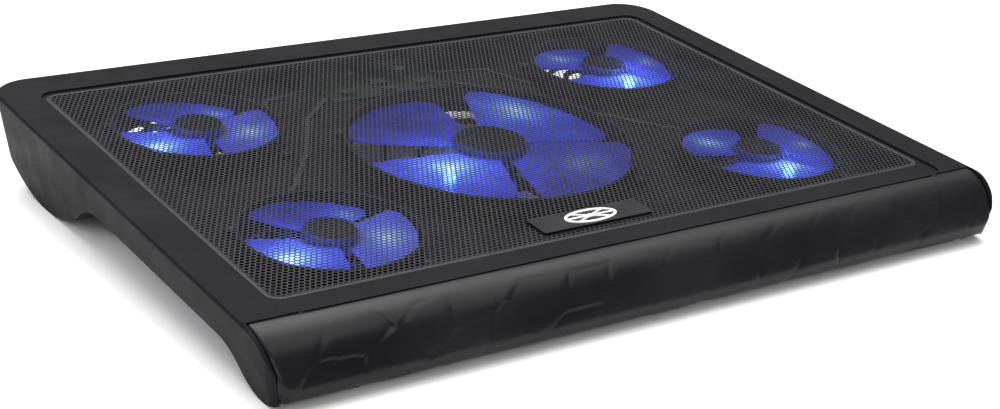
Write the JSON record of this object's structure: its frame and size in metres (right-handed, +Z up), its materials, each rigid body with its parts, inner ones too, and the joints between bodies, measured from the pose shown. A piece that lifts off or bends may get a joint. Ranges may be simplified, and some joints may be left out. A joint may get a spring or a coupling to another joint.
{
  "type": "laptop cooling pad",
  "caption": "Sloping laptop stand with a rounded front rest, a perforated top over lit fans, fold-out rear legs, and power inlets, dial and switch at the back.",
  "frame": {"origin": "middle of the footprint, on the table under the rubber pads", "axes": "+X to the user's right, +Y towards the back edge, +Z up"},
  "size_m": [0.3894, 0.2859, 0.047],
  "materials": {
    "frame_plastic": "charcoal, fine moulded grain",
    "shell_plastic": "charcoal, fine moulded grain",
    "nose_plastic": "near black, embossed with soft overlapping ripples, satin",
    "mesh_steel": "black powder coat on finely perforated sheet steel",
    "badge_plastic": "polished black",
    "emblem_paint": "white satin print",
    "fan_plastic": "black glass-filled plastic",
    "blade_plastic": "translucent blue, lit from below",
    "bearing_bronze": "sintered bronze",
    "stator_copper": "enamelled copper windings",
    "magnet": "dark ferrite",
    "shaft_steel": "ground steel",
    "led_lens": "clear lens, lit blue",
    "screw_steel": "black oxide",
    "board_laminate": "green solder mask",
    "component_plastic": "moulded black",
    "lead_insulation": "black insulation",
    "usb_metal": "nickel plated sheet",
    "control_plastic": "black, fine grain",
    "control_body_plastic": "black",
    "leg_plastic": "charcoal, fine moulded grain",
    "pin_steel": "steel",
    "rubber": "soft matt black"
  },
  "bodies": {
    "base": {"badge_emblem": "emblem_paint", "badge_plate": "badge_plastic", "board_components": "component_plastic", "centre_bearing": "bearing_bronze", "centre_fan_frame": "fan_plastic", "centre_stator": "stator_copper", "control_board": "board_laminate", "dial_body": "control_body_plastic", "fan_leads": "lead_insulation", "fan_leds": "led_lens", "fan_screws": "screw_steel", "front_feet": "rubber", "front_left_bearing": "bearing_bronze", "front_left_fan_frame": "fan_plastic", "front_left_stator": "stator_copper", "front_rest": "nose_plastic", "front_right_bearing": "bearing_bronze", "front_right_fan_frame": "fan_plastic", "front_right_stator": "stator_copper", "leg_pin_left": "pin_steel", "leg_pin_right": "pin_steel", "mesh_panel": "mesh_steel", "rear_feet": "rubber", "rear_left_bearing": "bearing_bronze", "rear_left_fan_frame": "fan_plastic", "rear_left_stator": "stator_copper", "rear_right_bearing": "bearing_bronze", "rear_right_fan_frame": "fan_plastic", "rear_right_stator": "stator_copper", "rocker_frame": "control_body_plastic", "shell_floor": "shell_plastic", "shell_front": "shell_plastic", "shell_haunches": "shell_plastic", "shell_rear": "shell_plastic", "shell_screws": "screw_steel", "shell_sides": "shell_plastic", "upper_frame": "frame_plastic", "usb_socket_left": "usb_metal", "usb_socket_right": "usb_metal"},
    "front_left_rotor": {"front_left_impeller": "blade_plastic", "front_left_magnet_ring": "magnet", "front_left_shaft": "shaft_steel"},
    "front_right_rotor": {"front_right_impeller": "blade_plastic", "front_right_magnet_ring": "magnet", "front_right_shaft": "shaft_steel"},
    "rear_left_rotor": {"rear_left_impeller": "blade_plastic", "rear_left_magnet_ring": "magnet", "rear_left_shaft": "shaft_steel"},
    "rear_right_rotor": {"rear_right_impeller": "blade_plastic", "rear_right_magnet_ring": "magnet", "rear_right_shaft": "shaft_steel"},
    "centre_rotor": {"centre_impeller": "blade_plastic", "centre_magnet_ring": "magnet", "centre_shaft": "shaft_steel"},
    "left_leg": {"leg_left": "leg_plastic", "leg_tip_left": "rubber"},
    "right_leg": {"leg_right": "leg_plastic", "leg_tip_right": "rubber"},
    "rocker": {"power_rocker": "control_plastic"},
    "dial": {"speed_dial": "control_plastic"}
  },
  "joints": [
    {"name": "front_left_fan_spin", "type": "hinge", "parent": "base", "child": "front_left_rotor", "pos_m": [-0.119, -0.05327, 0.02658], "axis": [0, -0.0637, 0.998], "continuous": true},
    {"name": "front_right_fan_spin", "type": "hinge", "parent": "base", "child": "front_right_rotor", "pos_m": [0.119, -0.05327, 0.02658], "axis": [0, -0.0637, 0.998], "continuous": true},
    {"name": "rear_left_fan_spin", "type": "hinge", "parent": "base", "child": "rear_left_rotor", "pos_m": [-0.119, 0.07148, 0.03454], "axis": [0, -0.0637, 0.998], "continuous": true},
    {"name": "rear_right_fan_spin", "type": "hinge", "parent": "base", "child": "rear_right_rotor", "pos_m": [0.119, 0.07148, 0.03454], "axis": [0, -0.0637, 0.998], "continuous": true},
    {"name": "centre_fan_spin", "type": "hinge", "parent": "base", "child": "centre_rotor", "pos_m": [0, 0.00362, 0.03021], "axis": [0, -0.0637, 0.998], "continuous": true},
    {"name": "left_leg_fold", "type": "hinge", "parent": "base", "child": "left_leg", "pos_m": [-0.057, 0.12615, 0.0258], "axis": [1, 0, 0], "range_deg": [0, 100]},
    {"name": "right_leg_fold", "type": "hinge", "parent": "base", "child": "right_leg", "pos_m": [0.057, 0.12615, 0.0258], "axis": [1, 0, 0], "range_deg": [0, 100]},
    {"name": "power_rocker_tilt", "type": "hinge", "parent": "base", "child": "rocker", "pos_m": [0.062, 0.13709, 0.03652], "axis": [0, -0.0637, 0.998], "range_deg": [-14, 0]},
    {"name": "speed_dial_turn", "type": "hinge", "parent": "base", "child": "dial", "pos_m": [-0.062, 0.13508, 0.03659], "axis": [0, -0.0637, 0.998], "range_deg": [0, 270]}
  ]
}
